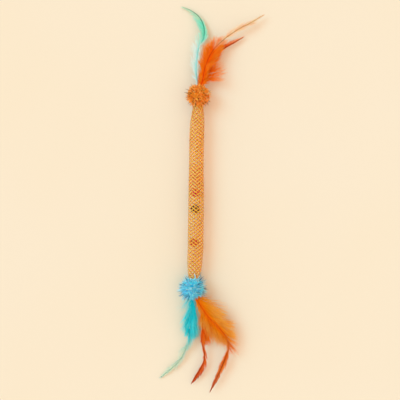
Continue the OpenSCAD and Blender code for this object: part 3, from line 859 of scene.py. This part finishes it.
def add_feather(replaced, slot, side, length, path, level, barbs, material, seed, shaft_r, uneven=1.0):
    """A feather on the wand: a tapered shaft with a row of curved barbs on each side.

    barbs has a row for each place along the shaft: the place, the left and the right length of the barbs,
    their left and right angle to the shaft, how far they bend towards the tip, how many there are to a
    millimetre, their width and how unruly they are. An uneven above 1 gives the left barbs more of the
    streak colour and the right ones less.
    """
    rng = np.random.default_rng(seed)
    spine = spine_of(path, length, level)
    parts = [shaft(spine, shaft_r)]
    for hand in (-1, 1):
        parts.append(barb_row(spine, barbs, hand, uneven, rng))
    for part in parts:
        part["points"][:, 1] *= side
        if side < 0:
            part["faces"] = [alike[:, ::-1] for alike in part["faces"]]
    set_on_wand(build(f"{replaced}_barbs", parts, material), slot, replaced)


teal_top = feather_material(
    "teal_feather_top",
    down=[(0.0, 144, 236, 232), (0.3, 236, 253, 247), (1.0, 255, 255, 248)],
    web=[(0.0, 70, 204, 160), (0.3, 120, 236, 196), (1.0, 206, 248, 222)],
    tail=[(0.0, 170, 206, 160), (0.5, 220, 240, 206), (1.0, 240, 248, 222)],
    shaft=[
        (0.0, 80, 208, 212), (0.14, 104, 212, 212), (0.3, 170, 228, 218), (0.54, 110, 200, 176),
        (0.68, 46, 70, 40), (0.84, 64, 90, 56), (1.0, 160, 184, 140),
    ],
    streak=(196, 242, 228),
)
teal_bottom = feather_material(
    "teal_feather_bottom",
    down=[(0.0, 10, 206, 220), (0.6, 40, 240, 242), (1.0, 130, 244, 240)],
    web=[(0.0, 214, 232, 188), (0.7, 242, 248, 214), (1.0, 250, 252, 226)],
    tail=[(0.0, 216, 234, 194), (0.7, 240, 252, 218), (1.0, 248, 255, 228)],
    shaft=[(0.0, 20, 196, 212), (0.36, 60, 200, 200), (0.48, 190, 208, 170), (1.0, 112, 152, 116)],
    streak=(12, 164, 190),
)
orange_top = feather_material(
    "orange_feather_top",
    down=[(0.0, 248, 92, 0), (0.5, 255, 124, 0), (1.0, 255, 172, 50)],
    web=[(0.0, 250, 212, 146), (0.6, 255, 238, 186), (1.0, 255, 244, 208)],
    tail=[(0.0, 234, 206, 144), (0.6, 255, 238, 192), (1.0, 255, 246, 216)],
    shaft=[(0.0, 226, 56, 0), (0.42, 206, 70, 6), (0.54, 170, 104, 46), (1.0, 200, 156, 100)],
    streak=(252, 104, 0),
)
orange_short = feather_material(
    "orange_feather_short",
    down=[(0.0, 240, 92, 0), (0.5, 252, 122, 0), (1.0, 255, 170, 56)],
    web=[(0.0, 238, 92, 6), (0.6, 252, 128, 26), (1.0, 255, 170, 84)],
    tail=[(0.0, 214, 96, 48), (0.5, 246, 158, 104), (1.0, 255, 212, 160)],
    shaft=[(0.0, 214, 62, 2), (0.5, 160, 62, 14), (0.66, 70, 34, 14), (1.0, 76, 38, 20)],
    streak=(244, 96, 0),
)
rust_middle = feather_material(
    "rust_feather_middle",
    down=[(0.0, 240, 88, 0), (0.5, 252, 112, 0), (1.0, 255, 146, 20)],
    web=[(0.0, 220, 88, 16), (0.6, 240, 124, 54), (1.0, 226, 112, 50)],
    tail=[(0.0, 200, 66, 20), (0.5, 228, 98, 40), (0.85, 200, 66, 20), (1.0, 140, 50, 18)],
    shaft=[(0.0, 234, 80, 0), (0.5, 206, 70, 10), (0.66, 116, 40, 14), (1.0, 86, 38, 20)],
    streak=(232, 84, 0),
)
rust_right = feather_material(
    "rust_feather_right",
    down=[(0.0, 252, 106, 0), (0.4, 255, 160, 8), (1.0, 255, 204, 90)],
    web=[(0.0, 226, 92, 8), (0.6, 246, 134, 40), (1.0, 250, 170, 90)],
    tail=[(0.0, 206, 90, 46), (0.5, 236, 132, 80), (0.85, 206, 90, 46), (1.0, 134, 52, 24)],
    shaft=[(0.0, 240, 96, 0), (0.5, 200, 76, 6), (0.7, 120, 42, 14), (1.0, 80, 32, 18)],
    streak=(228, 78, 0),
)

# A path's points are shares of the feather's length: to the right, and away from the tube
add_feather(
    "feather_top_teal",
    "teal_feather",
    side=1,
    length=130,
    path=[
        (0, 0), (-0.012, 0.115), (-0.03, 0.225), (-0.015, 0.435), (0.035, 0.555),
        (0.037, 0.665), (-0.01, 0.77), (-0.1, 0.84), (-0.19, 0.875),
    ],
    level=-1,
    barbs=[
        (0.06, 4, 3, 34, 34, 14, 5, 0.3, 1.0),
        (0.12, 8, 6, 40, 36, 18, 5, 0.32, 1.0),
        (0.22, 9, 7, 42, 36, 20, 4, 0.32, 1.0),
        (0.32, 10, 7, 46, 36, 18, 3, 0.3, 1.0),
        (0.42, 12, 7, 50, 34, 14, 3, 0.3, 1.0),
        (0.5, 12, 7, 46, 36, 12, 4, 0.32, 0.8),
        (0.56, 13, 7, 40, 40, 14, 6, 0.36, 0.5),
        (0.62, 15, 6.5, 40, 40, 14, 7, 0.38, 0.5),
        (0.68, 16, 4, 40, 36, 12, 6, 0.36, 0.4),
        (0.74, 15, 3, 38, 34, 12, 3.5, 0.32, 0.5),
        (0.85, 10, 2.5, 32, 26, 10, 2.5, 0.28, 0.6),
        (0.995, 3, 1.5, 22, 20, 6, 3, 0.24, 0.4),
    ],
    material=teal_top,
    seed=21,
    shaft_r=(0.75, 0.24),
)
add_feather(
    "feather_top_orange_short",
    "orange_feather",
    side=1,
    length=105,
    path=[
        (0, 0), (0.067, 0.238), (0.124, 0.39), (0.2, 0.5), (0.31, 0.576), (0.41, 0.638), (0.537, 0.72),
    ],
    level=0,
    barbs=[
        (0.03, 3, 5, 40, 30, 8, 6, 0.34, 0.7),
        (0.07, 6, 6, 44, 36, 8, 8, 0.36, 0.8),
        (0.12, 9, 13, 46, 44, 8, 8, 0.36, 0.9),
        (0.17, 10, 26, 46, 48, 10, 9, 0.36, 1.0),
        (0.23, 12, 26, 46, 52, 14, 10, 0.36, 1.0),
        (0.32, 15, 19, 44, 48, 20, 10, 0.36, 1.0),
        (0.42, 16, 16, 42, 40, 20, 10, 0.36, 1.0),
        (0.5, 14, 12, 38, 34, 18, 8, 0.36, 0.9),
        (0.58, 12, 7, 34, 30, 14, 5, 0.34, 0.7),
        (0.66, 12, 4, 28, 26, 10, 3.6, 0.32, 0.4),
        (0.82, 9, 3, 22, 24, 8, 3.6, 0.3, 0.3),
        (0.995, 3, 2, 14, 14, 4, 5, 0.24, 0.2),
    ],
    material=orange_short,
    seed=22,
    shaft_r=(0.75, 0.24),
)
add_feather(
    "feather_top_orange_long",
    "orange_feather",
    side=1,
    length=140,
    path=[
        (0, 0), (0.03, 0.1), (0.063, 0.267), (0.13, 0.41), (0.232, 0.514),
        (0.337, 0.595), (0.476, 0.677), (0.585, 0.748),
    ],
    level=1,
    barbs=[
        (0.06, 3, 4, 40, 45, 18, 9, 0.34, 1.0),
        (0.12, 8, 10, 42, 48, 20, 10, 0.36, 1.0),
        (0.22, 14, 15, 42, 46, 22, 10, 0.36, 1.0),
        (0.31, 18, 16, 44, 42, 22, 10, 0.36, 1.0),
        (0.4, 16, 15, 42, 36, 20, 10.5, 0.38, 0.9),
        (0.47, 12, 13, 36, 32, 14, 9, 0.38, 0.8),
        (0.54, 10, 10, 26, 24, 8, 2.4, 0.26, 0.7),
        (0.72, 12, 12, 20, 18, 6, 2.6, 0.26, 0.5),
        (0.86, 11, 10, 16, 16, 5, 3.0, 0.26, 0.4),
        (0.995, 3, 3, 10, 10, 3, 3, 0.22, 0.2),
    ],
    material=orange_top,
    seed=23,
    shaft_r=(0.75, 0.2),
)
add_feather(
    "feather_bottom_teal",
    "teal_feather",
    side=-1,
    length=130,
    path=[
        (0, 0), (0.01, 0.075), (-0.008, 0.296), (-0.012, 0.496), (-0.062, 0.608), (-0.122, 0.727),
        (-0.295, 0.888),
    ],
    level=-1,
    barbs=[
        (0.02, 26, 6, 62, 22, 6, 4, 0.3, 0.8),
        (0.05, 14, 20, 30, 22, 8, 8, 0.36, 0.8),
        (0.1, 18, 30, 27, 22, 8, 10, 0.38, 0.8),
        (0.18, 21, 32, 24, 20, 8, 10, 0.38, 0.6),
        (0.25, 22, 29, 23, 20, 8, 11, 0.38, 0.6),
        (0.31, 19, 24, 22, 20, 10, 11, 0.38, 0.5),
        (0.36, 13, 17, 20, 18, 10, 10, 0.38, 0.5),
        (0.4, 17, 9, 26, 22, 10, 5, 0.28, 0.8),
        (0.5, 17, 10, 28, 24, 10, 3.4, 0.28, 0.7),
        (0.6, 13, 10, 28, 26, 10, 2.0, 0.26, 0.6),
        (0.78, 12, 10, 26, 24, 10, 2.0, 0.26, 0.5),
        (0.995, 4, 4, 16, 16, 4, 2.6, 0.22, 0.3),
    ],
    material=teal_bottom,
    seed=24,
    shaft_r=(0.7, 0.2),
)
add_feather(
    "feather_bottom_orange_middle",
    "rust_feather",
    side=-1,
    length=132,
    path=[
        (0, 0), (0.04, 0.075), (0.094, 0.19), (0.108, 0.358), (0.102, 0.486),
        (0.133, 0.623), (0.119, 0.731), (0.014, 0.923),
    ],
    level=0,
    barbs=[
        (0.05, 2, 6, 24, 50, 16, 9, 0.34, 0.8),
        (0.12, 3, 18, 24, 48, 20, 10, 0.36, 0.9),
        (0.25, 4, 24, 24, 42, 20, 11, 0.4, 0.8),
        (0.36, 4, 23, 22, 36, 18, 12, 0.42, 0.7),
        (0.44, 4, 17, 20, 30, 14, 11, 0.42, 0.7),
        (0.5, 4, 10, 18, 26, 10, 7, 0.36, 0.7),
        (0.56, 4, 8, 18, 22, 8, 4, 0.32, 0.6),
        (0.64, 5, 8, 18, 20, 8, 5, 0.34, 0.4),
        (0.78, 7, 14, 18, 20, 8, 8, 0.36, 0.2),
        (0.9, 5, 8, 14, 16, 6, 8, 0.34, 0.2),
        (0.995, 2, 2.5, 12, 12, 3, 7, 0.26, 0.15),
    ],
    material=rust_middle,
    seed=25,
    shaft_r=(0.75, 0.24),
)
add_feather(
    "feather_bottom_orange_right",
    "rust_feather",
    side=-1,
    length=152,
    path=[
        (0, 0), (0.111, 0.182), (0.209, 0.282), (0.294, 0.382), (0.32, 0.466),
        (0.3, 0.553), (0.257, 0.674), (0.174, 0.864),
    ],
    level=1,
    barbs=[
        (0.03, 2, 24, 26, 54, 8, 9, 0.34, 0.8),
        (0.07, 5, 30, 30, 48, 10, 11, 0.38, 0.8),
        (0.12, 11, 31, 32, 40, 10, 12, 0.38, 0.8),
        (0.2, 20, 27, 36, 36, 12, 12, 0.38, 0.8),
        (0.3, 26, 25, 38, 36, 12, 12, 0.38, 0.8),
        (0.39, 22, 22, 34, 33, 10, 11, 0.38, 0.9),
        (0.47, 14, 18, 28, 30, 8, 7, 0.34, 1.0),
        (0.56, 9, 16, 22, 24, 8, 3.2, 0.26, 0.9),
        (0.66, 10, 13, 18, 18, 6, 5, 0.32, 0.6),
        (0.74, 11, 11, 16, 16, 6, 8, 0.38, 0.3),
        (0.86, 8.5, 8.5, 14, 14, 5, 9, 0.36, 0.2),
        (0.93, 5, 5, 12, 12, 4, 8, 0.32, 0.15),
        (0.995, 2.5, 2.5, 10, 10, 3, 7, 0.26, 0.1),
    ],
    material=rust_right,
    seed=26,
    shaft_r=(0.8, 0.26),
    uneven=3.0,
)


# The CAD nodes that stay
def dress(names, material):
    for name in names:
        mesh = nodes[name].data
        mesh.materials.clear()
        mesh.materials.append(material)


# each bell's lacquer, with its light, dark and worn colours
LACQUERS = {
    "bell_1": ("pink_lacquer", (230, 10, 92), (200, 4, 66), (240, 110, 140)),
    "bell_2": ("dark_lacquer", (86, 38, 54), (42, 22, 32), (150, 104, 100)),
    "bell_3": ("red_lacquer", (216, 2, 76), (180, 0, 50), (230, 84, 110)),
}
for bell, lacquer in LACQUERS.items():
    dress([f"{bell}_cap", f"{bell}_cup"], bell_material(*lacquer))
dress(
    [f"{bell}_loop" for bell in LACQUERS],
    metal_material("drawn_wire", (226, 214, 190), (176, 162, 138), rough=(0.22, 0.4), scale=1600.0),
)
dress(
    [f"{bell}_pellet" for bell in LACQUERS],
    metal_material("tumbled_steel", (196, 200, 206), (138, 142, 148), rough=(0.2, 0.42), scale=900.0),
)
dress(["neck_tie_top", "neck_tie_bottom"], thread_material())
dress(["glue_plug_top", "glue_plug_bottom"], glue_material())

# Floor, light and camera, in metres
FLOOR_HALF = 6.0
FLOOR_CUTS = 2
LIGHT_LEVEL = 1.16
SKY_COLOUR = (1.0, 0.803, 0.69, 1.0)
SKY_SHARE = 0.974
SUN_COLOUR = (0.1, 0.67, 1.0)
SUN_SHARE = 1.5
SUN_WIDTH = math.radians(34)
SUN_TRAVEL = (0.9, -0.42, -1.0)


def floor():
    """Pale paper under the toy."""
    mesh = bpy.data.meshes.new("floor")
    across = FLOOR_CUTS + 1
    ticks = np.linspace(-FLOOR_HALF, FLOOR_HALF, across)
    points = [(x, y, -AXIS_H * MM) for y in ticks for x in ticks]
    faces = [
        (r * across + c, r * across + c + 1, (r + 1) * across + c + 1, (r + 1) * across + c)
        for r in range(FLOOR_CUTS)
        for c in range(FLOOR_CUTS)
    ]
    mesh.from_pydata(points, [], faces)
    made, tree, shader = principled("pale_paper", Roughness=0.9, Specular_IOR_Level=0.1)
    place = object_place(tree)
    grain = noise(tree, place, scale=700.0)
    clouds = spread(tree, noise(tree, place, scale=3.0, detail=2.0), 0.35, 0.65)
    paint(tree, shader, blend(tree, clouds, srgb(236, 219, 192), srgb(236, 218, 189)))
    bump(tree, shader, grain, strength=0.05, depth=0.05)
    mesh.materials.append(made)
    stage = bpy.data.objects.new("floor", mesh)
    bpy.context.scene.collection.objects.link(stage)


def world():
    """A warm sky that lights the toy, with a plain background in place of it wherever it is seen."""
    made = bpy.data.worlds.new("studio")
    bpy.context.scene.world = made
    made.use_nodes = True
    tree = made.node_tree
    sky = tree.nodes["Background"]
    sky.inputs["Color"].default_value = SKY_COLOUR
    sky.inputs["Strength"].default_value = SKY_SHARE * LIGHT_LEVEL
    shown = node(tree, "ShaderNodeBackground", {"Color": srgb(253, 233, 206), "Strength": 1.0})
    path = node(tree, "ShaderNodeLightPath").outputs
    through = arithmetic(tree, "MAXIMUM", path["Is Glossy Ray"], path["Is Transmission Ray"])
    seen = arithmetic(tree, "MAXIMUM", path["Is Camera Ray"], through)
    mixed = node(tree, "ShaderNodeMixShader", {0: seen, 1: sky.outputs[0], 2: shown.outputs[0]})
    tree.links.new(mixed.outputs[0], tree.nodes["World Output"].inputs["Surface"])


def key_light():
    """A broad soft light from the upper left."""
    light = bpy.data.lights.new("key", "SUN")
    light.energy = SUN_SHARE * LIGHT_LEVEL
    light.color = SUN_COLOUR
    light.angle = SUN_WIDTH
    lamp = bpy.data.objects.new("key", light)
    bpy.context.scene.collection.objects.link(lamp)
    lamp.rotation_mode = "QUATERNION"
    lamp.rotation_quaternion = Vector(SUN_TRAVEL).to_track_quat("-Z", "Y")


def camera():
    """Straight down, with the tube leaning a little in the picture as in the photograph."""
    lens, sensor = 85.0, 36.0
    picture_w = 0.518
    middle = (6.1 * MM, -10.2 * MM)
    lean = math.radians(1.67)
    data = bpy.data.cameras.new("camera")
    data.lens = lens
    data.sensor_width = sensor
    made = bpy.data.objects.new("camera", data)
    bpy.context.scene.collection.objects.link(made)
    made.location = (*middle, picture_w / sensor * lens)
    made.rotation_euler = (0, 0, lean)
    bpy.context.scene.camera = made


floor()
world()
key_light()
camera()
bpy.context.scene.view_settings.view_transform = "Standard"
